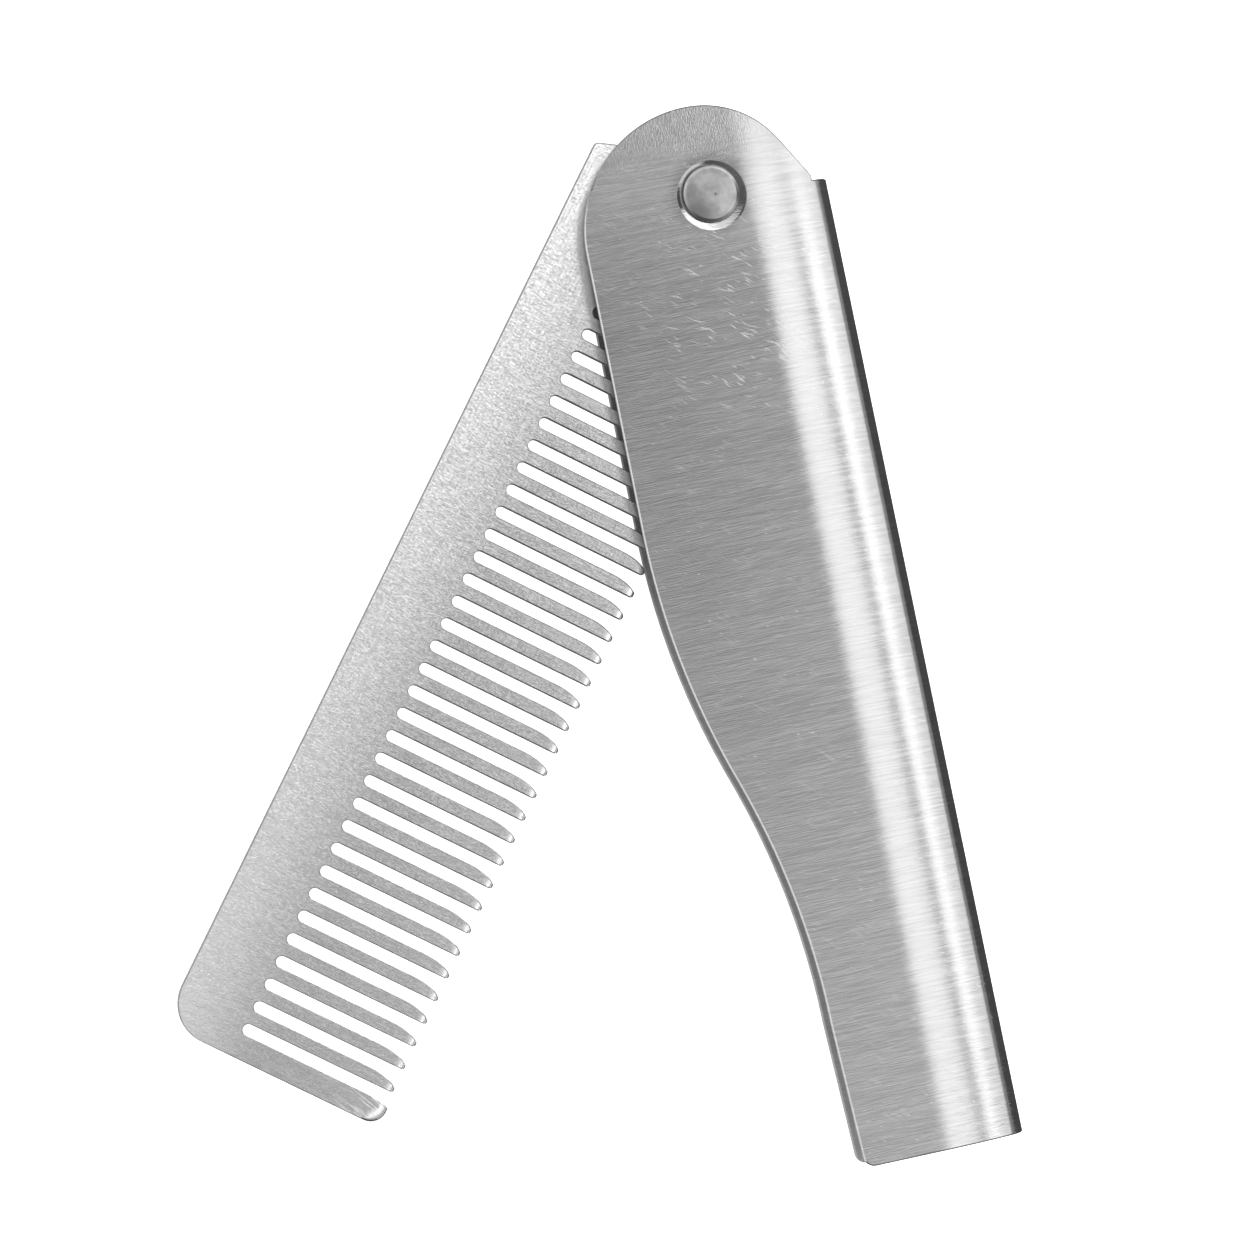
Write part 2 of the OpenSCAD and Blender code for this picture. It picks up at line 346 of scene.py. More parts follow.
def handle_patches(sizes, pivot):
    """The folded sheet. The blank is a body, a stub of the spine and a head round the pivot, each a grid of (s, y).
    They are folded at the depth of the outer face and of the inner face, and a chamfered rim and the rivet's seat
    are profiles carried along the outline and round the pivot. The seat's sloping wall is offset by the sag at its
    rim, which dies away at its foot, and its depth falls with the cosine of the angle from the spine's side. The
    rear half mirrors the front half."""
    fold = Fold(sizes)
    edge, sheet = sizes.chamfer, sizes.sheet
    step = float(fold.along(sizes.flank_end))
    spine_s = np.concatenate([np.linspace(step, fold.bend, 3), np.linspace(fold.bend, fold.middle, 17)[1:]])
    bend_s = np.linspace(0, step - edge, 16)
    flat_t = np.linspace(0, 1, 49)

    def columns(left):
        return np.concatenate([left * (1 - flat_t), bend_s[1:], spine_s[1:]])

    floor_s = columns(sizes.corner - sizes.end - fold.start)[::-1]
    floor, side, head, spine = handle_outline(sizes, fold, floor_s, spine_s, HEAD_SEAM)
    left = moved_in(np.concatenate([floor[-1:], side]), edge)
    body = np.stack([np.stack([columns(s), np.full(len(floor_s), y)], axis=1) for s, y in left])
    cut = len(flat_t) + len(bend_s) - 2
    t = np.linspace(0, 1, 9)[:, None, None]
    stub = (1 - t) * body[-1, cut:] + t * moved_in(spine, edge)
    loop = np.concatenate([body[-1, :1], moved_in(head, edge), stub[::-1, 0], body[-1, :cut][::-1]])
    centre = np.array([-fold.start, 0])
    hole, floor_depth = pivot.barrel + pivot.clearance, pivot.recess_depth
    land_depth = floor_depth + SEAT_FLOOR
    lip = pivot.recess + LIP
    dish = np.linspace((lip, 0), (pivot.dish, DISH_DEPTH), 5)
    seat = np.array([
        (lip + HOLD, 0), *dish, (pivot.dish - DISH_FOOT, floor_depth),
        (hole + edge, floor_depth), (hole, floor_depth + edge), (hole, land_depth - edge), (hole + edge, land_depth),
        (pivot.land - edge, land_depth), (pivot.land, land_depth - edge), (pivot.land + LIP, sheet),
    ])
    away = rays(loop, centre)
    rings = centre + seat[:, :1, None] * away
    rings[:6, :, 1] -= pivot.sag * np.array([1, *np.linspace(1, 0, 5)])[:, None]
    depths = np.repeat(seat[:, 1:], len(loop), axis=1)
    depths[1:6] *= 1 - DISH_LEAN * away[:, 0]
    rim = np.concatenate([floor, side, head, spine])
    rim_profile = np.array([(edge, 0), (0, edge), (0, sheet - edge), (edge, sheet)])
    folded = [
        (rings, depths),
        (np.stack([moved_in(rim, inset) for inset in rim_profile[:, 0]]), rim_profile[:, 1:]),
    ]
    for depth, ring in ((0, rings[0]), (sheet, rings[-1])):
        folded += [(body, depth), (stub, depth), (annulus(ring, loop, 10), depth)]
    return [fold.point(grid, depth, rear) for grid, depth in folded for rear in (False, True)]


# ------------------------------------------------------------------ blade

TAPER = 3.6 * MM  # length over which a tooth draws in towards its tip
FLARE_RUN = 3.3 * MM  # length over which a tooth's pivot side leans by the whole flare
TIP_CORNER = 0.3 * MM  # radius of a tooth's corner on the free end's side
TANG_SEAM = -9 * MM  # where the tang's grid meets the teeth's
TANG_CORNER, TANG_CORNER_Y = 0.6 * MM, -0.15 * MM  # radius and height of the tang's corner on the back
TANG_SIDE = -4 * MM  # where the tang's straight side ends
BACK_WIDER, BACK_DEEPER = -4 * MM, -6 * MM  # how far across the blade its edge starts to widen and to deepen
BACK_GROW = 3 * MM  # width across the blade over which it does so
BACK_EDGE = 2.4  # how many times wider the broken edge is along the back and the tang than on the teeth
BACK_DROP = 2.5  # how many edge widths deeper it is there


def tooth_columns(sizes, inset):
    """Columns of the toothed part: how far each is round the slot's round root, along the straight, or from the tip.
    Returns the root's x, the half width of the slot there, the places along the straight, the distances from the
    tip, the lean of the pivot side, which grows with the cube of the distance past the taper's start, and the half
    thickness. That falls over the last stretch by a third with the 1.5th power of the nearness to the tip, and right
    at the tip by a further two fifths."""
    turn = np.linspace(0, math.pi / 2, 8)
    radius = sizes.slot / 2 + inset
    root = sizes.slot / 2 - sizes.root - radius * np.cos(turn)
    straight = np.linspace(0, 1, 9)[1:]
    near = sizes.bullnose * (1 - np.sin(np.linspace(0, math.pi / 2, 10)))
    from_tip = np.concatenate([np.linspace(TAPER, sizes.bullnose, 8)[1:-1], near])
    half_width = np.concatenate([radius * np.sin(turn), np.full(len(straight) + len(from_tip), radius)])
    lean = sizes.flare * (np.clip(TAPER - from_tip, 0, None) / FLARE_RUN) ** 3
    lean = np.concatenate([np.zeros(len(turn) + len(straight)), lean])
    thick = (BLADE_HIGH.z - BLADE_LOW.z) / 2
    near_tip = np.clip(1 - from_tip / sizes.bullnose, 0, 1)
    thin = thick * (1 - 0.35 * near_tip**1.5 - 0.4 * near_tip**18)
    thin = np.concatenate([np.full(len(turn) + len(straight), thick), thin])
    return root, half_width, straight, from_tip, lean, thin


def corner_drop(from_tip, radius):
    """How far a rounded corner draws the edge in, at a distance from the tip."""
    inside = np.clip(radius - from_tip, 0, radius)
    return radius - np.sqrt(np.clip(radius**2 - inside**2, 0, None))


def blade_plan(sizes, pivot, inset):
    """The closed blade seen from the front, every edge moved in by inset. Returns face grids and rim runs, each an
    array of x, y and half thickness. A strip lies between the middles of two slots, with a back part and a tooth.
    Along the back and the tang the inset is multiplied, and that dies away across the tang and round the corner."""
    root, half_width, straight, from_tip, lean, thin = tooth_columns(sizes, inset)
    thick = thin[0]
    small = TIP_CORNER - inset / 2
    tips = np.concatenate([np.full(len(root) + len(straight), TAPER), from_tip])
    low_corner, high_corner = corner_drop(tips, small), corner_drop(tips, small / 2)
    seam, end = TANG_SEAM, -sizes.reach
    middles = -sizes.first - sizes.pitch * np.arange(sizes.slots)
    back_round, guard_round = sizes.back_corner - inset, sizes.guard_corner - inset
    faces, rims = [], []

    def back_x(y):
        past = np.clip(end + sizes.back_corner - y, 0, back_round)
        wide = BACK_EDGE * inset
        return wide - sizes.back + (sizes.back_corner - wide) * (1 - np.sqrt(1 - (past / back_round) ** 2))

    def guard_x(y):
        past = np.clip(end + sizes.guard_corner - y, 0, guard_round)
        return sizes.tip + sizes.guard_extra - inset - guard_round + np.sqrt(guard_round**2 - past**2)

    def strip(high, low, high_back, low_back, share, tip_x, height):
        y = high + (low - high) * share[:, None]
        tip = tip_x(y[:, -1:])
        x = np.hstack([
            np.broadcast_to(root, (len(share), len(root))),
            root[-1] + (tip - TAPER - root[-1]) * straight,
            tip - from_tip,
        ])
        tooth = np.stack([x, y, np.broadcast_to(height, x.shape)], axis=2)
        y = (high_back + (low_back - high_back) * share)[:, None]
        left = back_x(y)
        x = left + (root[0] - left) * np.linspace(0, 1, 7)
        back = np.stack([x, np.broadcast_to(y, x.shape), np.full(x.shape, thick)], axis=2)
        faces.extend([tooth, back])
        rims.append(back[:, 0])
        return tooth, back

    even = np.linspace(0, 1, 5)

    def tip_line(y):
        return np.full(y.shape, sizes.tip - inset)

    for k, middle in enumerate(middles):
        low = middle + half_width + low_corner
        if k == 0:
            tooth, first_back = strip(seam, low, seam, middle, even, tip_line, thick)
            first_tooth = tooth
            rims.append(np.concatenate([tooth[:, -1], tooth[-1, ::-1]]))
        else:
            above = middles[k - 1]
            tooth, _ = strip(above - half_width - lean - high_corner, low, above, middle, even, tip_line, thin)
            rims.append(np.concatenate([tooth[0], tooth[1:, -1], tooth[-1, -2::-1]]))
    share = np.sin(np.linspace(0, math.pi / 2, 15))
    high = middles[-1] - half_width - lean / 2
    guard, back = strip(high, end + inset, middles[-1], end + inset, share, guard_x, thin)
    rims.append(np.concatenate([guard[0], guard[1:, -1], guard[-1, -2::-1], back[-1, -2::-1]]))

    slope = math.pi / 2 + sizes.tang_slope
    drop = TANG_CORNER * (1 / math.cos(sizes.tang_slope) - math.tan(sizes.tang_slope))
    gap = (TANG_CORNER_Y + sizes.back * math.tan(sizes.tang_slope)) * math.cos(sizes.tang_slope)
    meets = slope - math.acos(gap / sizes.tang)
    meet_at = sizes.tang * np.array([math.cos(meets), math.sin(meets)])
    sloped = (math.cos(slope), math.sin(slope))
    diagonal = (math.sqrt(0.5), math.sqrt(0.5))
    neck = (sizes.tip, TANG_SIDE + sizes.tang - sizes.tip)
    corner = arc((TANG_CORNER - sizes.back, TANG_CORNER_Y - drop), TANG_CORNER, math.pi, slope, 6)
    runs = [
        np.array([[-sizes.back, seam, -1, 0]]),
        line((-sizes.back, seam), (-sizes.back, TANG_CORNER_Y - drop), 8, (-1, 0)),
        corner,
        line(corner[-1, :2], meet_at, 20, sloped),
        arc((0, 0), sizes.tang, meets, 0, 16),
        line((sizes.tang, 0), (sizes.tang, TANG_SIDE), 4, (1, 0)),
        line((sizes.tang, TANG_SIDE), neck, 4, diagonal),
        line(neck, (sizes.tip, seam), 3, (1, 0)),
    ]
    last = np.cumsum([len(run) for run in runs]) - 1
    outline = np.concatenate(runs)
    outline[last[3], 2:] = mitre(sloped, meet_at / sizes.tang)
    outline[last[5], 2:] = outline[last[6], 2:] = mitre((1, 0), diagonal)
    outline[:, 2:] *= 1 + (BACK_EDGE - 1) * np.clip((BACK_WIDER - outline[:, :1]) / BACK_GROW, 0, 1)
    tang = moved_in(outline, inset)
    seam_row = np.concatenate([first_tooth[0, ::-1, :2], first_back[0, -2::-1, :2]])
    loop = np.concatenate([tang, seam_row[1:]])
    ring = annulus((pivot.barrel + pivot.clearance + inset) * rays(loop, np.zeros(2)), loop, 6)
    for flat, store in ((ring, faces), (ring[0], rims), (tang, rims)):
        store.append(np.concatenate([flat, np.full(flat.shape[:-1] + (1,), thick)], axis=-1))
    return faces, rims


def blade_patches(sizes, pivot):
    """Both faces of the blade and the chamfered rims between them, turned from closed to where the blade rests. The
    rims grow deeper across the blade towards its back."""
    edge = sizes.chamfer
    middle = (BLADE_LOW.z + BLADE_HIGH.z) / 2
    faces, inner = blade_plan(sizes, pivot, edge)
    outer = blade_plan(sizes, pivot, 0)[1]
    patches = [
        np.stack([face[..., 0], face[..., 1], middle + side * face[..., 2]], axis=-1)
        for face in faces for side in (1, -1)
    ]
    for near, far in zip(inner, outer):
        drop = edge * (1 + BACK_DROP * np.clip((BACK_DEEPER - far[:, 0]) / BACK_GROW, 0, 1))
        rows = [(near, 1, 0), (far, 1, drop), (far, -1, drop), (near, -1, 0)]
        patches.append(np.stack([
            np.stack([run[:, 0], run[:, 1], middle + side * (run[:, 2] - less)], axis=1) for run, side, less in rows
        ]))
    c, s = math.cos(REST_OPEN), math.sin(REST_OPEN)
    turn = np.array([[c, s, 0], [-s, c, 0], [0, 0, 1]])
    return [patch @ turn.T for patch in patches]


# ------------------------------------------------------------------ pivot

PRESS_FIT = 0.02 * MM  # gap between the post and the barrel's bore


def head_profile(pivot, radius, face, side):
    """Crowned rivet head from its rim to the axis: a bevel, then a shallow crown that falls with the square of the
    radius. Side is 1 if the head faces up and -1 if it faces down."""
    r = np.linspace(radius - pivot.bevel, 0, 14)
    fall = pivot.crown * (r / radius) ** 2
    rows = [(radius, face - side * (pivot.crown + 0.15 * MM))]
    return rows + list(zip(r, face - side * fall))


def post_profile(pivot):
    """Front rivet head with the post behind it."""
    low, high = HEAD_LOW.z, HEAD_HIGH.z
    under = high - pivot.recess_depth
    radius = HEAD_HIGH.x
    chamfer = 0.1 * MM
    stem = [
        (0, low), (pivot.post - chamfer, low), (pivot.post, low + chamfer), (pivot.post, under),
        (radius - chamfer / 2, under), (radius, under + chamfer / 2),
    ]
    return stem + head_profile(pivot, radius, high, 1)


def barrel_profile(pivot):
    """Rear rivet head with the tube that takes the post and carries the blade."""
    low, high = (corner.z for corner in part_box("rivet_barrel"))
    radius, bore, chamfer = HEAD_HIGH.x, pivot.post + PRESS_FIT, 0.08 * MM
    tube = [
        (radius - chamfer / 2, pivot.recess_depth), (pivot.barrel, pivot.recess_depth),
        (pivot.barrel, high - chamfer), (pivot.barrel - chamfer, high),
        (bore + chamfer, high), (bore, high - chamfer),
        (bore, HEAD_LOW.z - PRESS_FIT), (0, HEAD_LOW.z - PRESS_FIT),
    ]
    head = head_profile(pivot, radius, low, -1)[::-1]
    return head + [(radius, pivot.recess_depth - chamfer / 2)] + tube


def ring_profile(box, inner):
    """Flat ring that fills a CAD ring's box."""
    low, high = box
    return broken([(inner, low.z), (high.x, low.z), (high.x, high.z), (inner, high.z)], 0.08 * MM)


def spring_profile(pivot):
    """Cone-shaped ring, high at its bore and low at its rim."""
    inner, outer, thick = pivot.barrel + pivot.clearance, SPRING_HIGH.x, 0.25 * MM
    low, high = SPRING_LOW.z, SPRING_HIGH.z
    return broken([(inner, high - thick), (outer, low), (outer, low + thick), (inner, high)], 0.04 * MM)


# ------------------------------------------------------------------ finishes

UNBRUSHED = "unbrushed"  # name of the face attribute that marks matt steel


class Value:
    """A node's output, on which plain arithmetic adds Math nodes."""

    def __init__(self, nodes, socket):
        self.nodes = nodes
        self.socket = socket

    def math(self, operation, *others):
        """The result of a Math node on this value and the others."""
        return self.nodes.add("Math", {"operation": operation}, dict(enumerate((self,) + others)))

    def __add__(self, other):
        return self.math("ADD", other)

    def __sub__(self, other):
        return self.math("SUBTRACT", other)

    def __rsub__(self, other):
        return self.nodes.add("Math", {"operation": "SUBTRACT"}, {0: other, 1: self})

    def __mul__(self, other):
        return self.math("MULTIPLY", other)

    __radd__, __rmul__ = __add__, __mul__


class Nodes:
    """The nodes of a material or a world. Any node comes from add, with its settings set before its sockets."""

    def __init__(self, owner):
        owner.use_nodes = True
        self.tree = owner.node_tree
        self.tree.nodes.clear()

    def add(self, kind, settings=None, inputs=None, output=0):
        """Makes a node and returns one of its outputs, or nothing if output is None."""
        node = self.tree.nodes.new("ShaderNode" + kind)
        for key, setting in (settings or {}).items():
            setattr(node, key, setting)
        for key, value in (inputs or {}).items():
            if isinstance(value, Value):
                self.tree.links.new(value.socket, node.inputs[key])
            else:
                node.inputs[key].default_value = value
        return None if output is None else Value(self, node.outputs[output])


class Finish(Nodes):
    """A piece's material, with the patterns that the finishes share."""

    def __init__(self, name):
        self.material = bpy.data.materials.new(name)
        super().__init__(self.material)
        self.object_place = self.add("TexCoord", output="Object")

    def turned(self, turn, scale):
        """Object coordinates turned about Z and scaled by repeats per metre."""
        turned = self.add("Mapping", {}, {"Vector": self.object_place, "Rotation": (0, 0, turn)})
        return self.add("Mapping", {}, {"Vector": turned, "Scale": scale})

    def noise(self, place, detail=2.0):
        """Cloudy noise from 0 to 1, with one cloud to a unit of the place."""
        return self.add("TexNoise", {}, {"Vector": place, "Scale": 1.0, "Detail": detail})

    def smooth(self, value, low, high):
        """0 below low and 1 above high, with a smooth rise between."""
        settings = {"interpolation_type": "SMOOTHSTEP"}
        return self.add("MapRange", settings, {"Value": value, "From Min": low, "From Max": high})

    def marks(self, turn, scale, detail, low, high):
        """Places where a noise is high. They are thin strokes if its scale is much larger in one direction."""
        return self.smooth(self.noise(self.turned(turn, scale), detail), low, high)

    def unbrushed(self):
        """1 on the faces that are left matt and 0 elsewhere."""
        return self.add("Attribute", {"attribute_name": UNBRUSHED}, output="Fac")

    def blend(self, share, first, second):
        """Colour between two colours."""
        settings = {"data_type": "RGBA", "clamp_factor": True}
        return self.add("Mix", settings, {0: share, 6: first, 7: second}, output=2)

    def pick(self, share, first, second):
        """Number between two numbers."""
        return first + (second - first) * share

    def brushing(self, turn, run):
        """Streaks of three widths along a direction, the narrowest a tenth of a millimetre wide. Run is the number of
        the narrowest streaks in a metre of their length."""
        narrow = self.noise(self.turned(turn, (run, 9000, run)), 0.0)
        middle = self.noise(self.turned(turn, (run / 2, 3600, run / 2)), 0.0)
        wide = self.noise(self.turned(turn, (run / 5, 900, run / 5)), 1.0)
        return narrow * 0.4 + middle * 0.35 + wide * 0.25

    def distance_from(self, spot, near, far):
        """0 nearer to a spot than one distance and 1 beyond the other."""
        away = self.add("VectorMath", {"operation": "DISTANCE"}, {0: self.object_place, 1: spot}, output="Value")
        return self.smooth(away, near, far)

    def close(self, colour, roughness, height, distance, metallic=1.0):
        """Ends the material in one shader with its bump."""
        bump = self.add("Bump", {}, {"Strength": 1.0, "Distance": distance, "Filter Width": 0.04, "Height": height})
        inputs = {"Base Color": colour, "Roughness": roughness, "Metallic": metallic, "Normal": bump}
        shader = self.add("BsdfPrincipled", {}, inputs)
        self.add("OutputMaterial", {}, {"Surface": shader}, output=None)
        return self.material


def grey(level):
    """A grey as red, green, blue and alpha."""
    return (level, level, level, 1.0)


def shade(colour, factor):
    """A colour made lighter or darker, as red, green, blue and alpha."""
    return (*(min(1.0, channel * factor) for channel in colour), 1.0)


def mark_unbrushed(mesh, test):
    """Stores 1 on the faces that a test of their centres' x, y, z and their normals picks, and 0 elsewhere."""
    centres, normals = np.empty((2, len(mesh.polygons) * 3))
    mesh.polygons.foreach_get("center", centres)
    mesh.polygons.foreach_get("normal", normals)
    picked = test(*centres.reshape(-1, 3).T, normals.reshape(-1, 3)).astype(np.float32)
    mesh.attributes.new(UNBRUSHED, "FLOAT", "FACE").data.foreach_set("value", picked)


def inside_handle(x, y, z, normals):
    """The handle's inside and its cut edge, away from the rivet's seat: their normals don't point away from the plane
    halfway between the walls, or in the fold from a line in that plane."""
    bend = CASE_HIGH.x - FOLD_SIDE
    out = np.stack([np.clip(x - bend, 0, None), 0 * x, z - CASE_HIGH.z / 2], axis=1)
    share = np.sum(out * normals, axis=1) / np.linalg.norm(out, axis=1)
    return (share < 0.35) & (np.hypot(x, y) > SEAT_REACH)


def back_edge(x, y, z, normals):
    """The upright faces along the blade's back and tang."""
    across = math.cos(REST_OPEN) * x - math.sin(REST_OPEN) * y
    return (np.abs(normals[:, 2]) < 0.85) & (across < BACK_DEEPER)


def handle_finish(sizes):
    """Steel brushed across the handle, and lengthwise over the top of the head. The finest grain only tilts the
    surface, so it spreads reflections crosswise; coarser streaks, clouds, hairline scuffs and specks can be seen.
    The inside and the cut edge are left matt. The colour is painted lighter towards the head, a painted sheen."""
    finish = Finish("handle brushed steel")
    y = finish.add("SeparateXYZ", {}, {0: finish.object_place}, output=1)
    cloud = finish.noise(finish.turned(0, (60, 45, 60)), 3.0)
    head = finish.smooth(y + cloud * 0.006, 0.004, 0.011)
    fine_across = finish.noise(finish.turned(0, (700, 12000, 700)), 0.0)
    fine_along = finish.noise(finish.turned(0, (9000, 2500, 2500)), 0.0)
    fine = finish.pick(head, fine_across, fine_along)
    streak = finish.pick(head, finish.brushing(0, 330), finish.brushing(math.pi / 2, 2500))
    scuff = finish.marks(0.72, (750, 5200, 750), 0.0, 0.68, 0.78)
    scuff = scuff.math("MAXIMUM", finish.marks(0.4, (600, 5200, 600), 0.0, 0.70, 0.80))
    near_rivet = 1 - finish.distance_from((1 * MM, -13 * MM, CASE_HIGH.z), 4 * MM, 14 * MM)
    patch = finish.marks(0, (330, 330, 330), 1.0, 0.44, 0.60)
    speck = finish.marks(0.4, (1500, 4200, 1500), 0.0, 0.78, 0.88)
    marks = (scuff * patch * (near_rivet * 0.45 + 0.15)).math("MAXIMUM", speck * 0.45)
    tone = finish.smooth(streak, 0.34, 0.66) * 0.75 + cloud * 0.25
    colour = finish.blend(tone, shade(sizes.steel, 0.9), shade(sizes.steel, 1.1))
    # painted sheen: the colour is painted lighter along the handle towards the head, standing in for light falling
    # there
    painted_sheen_to_head = finish.smooth(y, -80 * MM, 12 * MM)
    colour = finish.blend(painted_sheen_to_head * 0.11, colour, shade(sizes.steel, 1.9))
    colour = finish.blend(marks * 0.5, colour, grey(0.95))
    matt = finish.unbrushed()
    roughness = sizes.roughness + (streak - 0.5) * 0.08 + marks * 0.2 + matt * 0.35
    seat = finish.distance_from((0, 0, CASE_HIGH.z), 3.6 * MM, 5 * MM)
    roughness = roughness + finish.smooth(y, -14 * MM, 8 * MM) * seat * 0.08
    return finish.close(colour, roughness, fine + streak * 0.2 - marks * 0.3, sizes.grain, 1 - matt * 0.6)


def blade_finish(sizes):
    """Steel brushed along the teeth, with painted light making it lighter towards the back and a painted highlight on
    the tips and the guard tooth's corner, with a few hairline scratches at a slant and more of them at the guard
    tooth's end. The back's edge is left matt."""
    finish = Finish("blade brushed steel")
    fine = finish.noise(finish.turned(REST_OPEN, (2500, 30000, 2500)), 0.0)
    streak = finish.brushing(REST_OPEN, 900)
    cloud = finish.noise(finish.turned(0, (70, 70, 70)), 3.0)
    scratch = finish.marks(REST_OPEN - 0.35, (260, 9000, 260), 1.0, 0.76, 0.84)
    tone = finish.smooth(streak, 0.34, 0.66) * 0.75 + cloud * 0.25
    across = finish.add("SeparateXYZ", {}, {0: finish.turned(REST_OPEN, (1, 1, 1))}, output=0)
    # painted light: the colour is painted lighter across the blade towards its back, standing in for how the light
    # falls
    back = 1 - finish.smooth(across, -14 * MM, -1.5 * MM)
    x, y = sizes.tip - 0.2 * MM, 0.5 * MM - sizes.reach
    c, s = math.cos(REST_OPEN), math.sin(REST_OPEN)
    corner = (c * x + s * y, c * y - s * x, BLADE_HIGH.z)
    guard = finish.marks(REST_OPEN + 0.25, (500, 5000, 500), 0.0, 0.52, 0.7)
    scratch = scratch.math("MAXIMUM", guard * (1 - finish.distance_from(corner, 2 * MM, 6 * MM)))
    # painted highlight: the tips and the guard tooth's corner are painted lighter, standing in for the bright bevels
    # there
    painted_tip_highlight = finish.smooth(across, sizes.tip - 0.8 * MM, sizes.tip - 0.5 * MM)
    painted_tip_highlight = painted_tip_highlight.math("MAXIMUM", 1 - finish.distance_from(corner, 0.9 * MM, 1.5 * MM))
    tone = tone * 0.16 + back.math("MAXIMUM", painted_tip_highlight) * 0.84
    colour = finish.blend(tone, shade(sizes.steel, 0.7), shade(sizes.steel, 1.3))
    colour = finish.blend(scratch * 0.5, colour, grey(0.95))
    matt = finish.unbrushed()
    roughness = sizes.roughness + (streak - 0.5) * 0.08 + matt * 0.2
    return finish.close(colour, roughness, fine + streak * 0.5 - scratch, sizes.grain, 1 - matt * 0.15)


def rivet_finish(pivot):
    """Turned steel: fine rings about the pivot over a faint mottle, with painted shade darkening one side and a small
    pit.
    """
    finish = Finish("turned steel")
    flat = finish.add("VectorMath", {"operation": "MULTIPLY"}, {0: finish.object_place, 1: (1, 1, 0)})
    radius = finish.add("VectorMath", {"operation": "LENGTH"}, {0: flat}, output="Value")
    rings = finish.add("CombineXYZ", {}, {0: radius * 9000, 1: 0.0, 2: 0.0})
    ring = finish.noise(rings)
    mottle = finish.noise(finish.turned(0, (900, 900, 900)), 3.0)
    tone = ring * 0.3 + mottle * 0.7
    colour = finish.blend(finish.smooth(tone, 0.35, 0.65), shade(pivot.steel, 0.8), shade(pivot.steel, 1.2))
    # painted shade: the head is darkened on its side towards -X and -Y, standing in for shade there
    painted_shade_side = 1 - finish.distance_from((-2.0 * MM, -1.9 * MM, CASE_HIGH.z), 0.6 * MM, 2.8 * MM)
    colour = finish.blend(painted_shade_side * (0.5 + mottle * 0.5), colour, shade(pivot.steel, 0.38))
    pit = 1 - finish.distance_from((0.42 * MM, -0.12 * MM, HEAD_HIGH.z), 0.08 * MM, 0.2 * MM)
    colour = finish.blend(pit * 0.8, colour, shade(pivot.steel, 0.3))
    return finish.close(colour, 0.26 + mottle * 0.12, ring * 0.2 + mottle, 1.5e-6)


def nylon_finish(pivot):
    """Black moulded nylon with a fine grain."""
    finish = Finish("moulded nylon")
    grain = finish.noise(finish.turned(0, (4000, 4000, 4000)), 3.0)
    colour = finish.blend(grain, shade(pivot.nylon, 0.7), shade(pivot.nylon, 1.4))
    return finish.close(colour, 0.5 + (grain - 0.5) * 0.2, grain, 8e-6, 0.0)


def spring_finish(pivot):
    """Dark spring steel with turning marks."""
    finish = Finish("dark spring steel")
    grain = finish.noise(finish.turned(0, (1200, 1200, 6000)), 3.0)
    colour = finish.blend(grain, shade(pivot.spring, 0.7), shade(pivot.spring, 1.3))
    return finish.close(colour, 0.35 + (grain - 0.5) * 0.2, grain, 3e-6)


# ------------------------------------------------------------------ operators


class COMB_OT_handle(bpy.types.Operator):
    """Make the folded handle"""

    bl_idname = "comb.make_handle"
    bl_label = "Handle"

    def execute(self, context):
        sizes = context.scene.comb_handle
        patches = handle_patches(sizes, context.scene.comb_pivot)
        piece = skin("handle_sheet", patches, "handle", ["handle_case"])
        mark_unbrushed(piece.data, inside_handle)
        piece.data.materials.append(handle_finish(sizes))
        return {"FINISHED"}


class COMB_OT_blade(bpy.types.Operator):
    """Make the toothed blade"""

    bl_idname = "comb.make_blade"
    bl_label = "Blade"

    def execute(self, context):
        sizes = context.scene.comb_blade
        piece = skin("blade", blade_patches(sizes, context.scene.comb_pivot), "comb", ["comb_blade"])
        mark_unbrushed(piece.data, back_edge)
        piece.data.materials.append(blade_finish(sizes))
        return {"FINISHED"}


class COMB_OT_pivot(bpy.types.Operator):
    """Make both rivet heads, the spacer rings and the disc spring"""

    bl_idname = "comb.make_pivot"
    bl_label = "Pivot"

    def execute(self, context):
        pivot = context.scene.comb_pivot
        bore = pivot.barrel + pivot.clearance
        rivet, nylon, spring = rivet_finish(pivot), nylon_finish(pivot), spring_finish(pivot)
        pieces = (
            ("rivet_front", post_profile(pivot), "rivet_post", "rivet_steel", rivet),
            ("rivet_rear", barrel_profile(pivot), "rivet_barrel", "rivet_steel", rivet),
            ("spacer_front", ring_profile(FRONT_RING, bore), "front_spacer", "spacer_nylon", nylon),
            ("spacer_rear", ring_profile(REAR_RING, bore), "rear_spacer", "spacer_nylon", nylon),
            ("spring_washer", spring_profile(pivot), "disc_spring", "spring_steel", spring),
        )
        for name, profile, node, slot, finish in pieces:
            piece = skin(name, [revolve(profile)], "handle", [node])
            piece.data.materials.append(finish)
        return {"FINISHED"}


class COMB_OT_studio(bpy.types.Operator):
    """Make the floor, the lights and the camera"""

    bl_idname = "comb.make_studio"
    bl_label = "Studio"

    def execute(self, context):
        studio = context.scene.comb_studio
        make_floor(studio)
        make_lights(studio)
        make_camera(context.scene, studio)
        return {"FINISHED"}


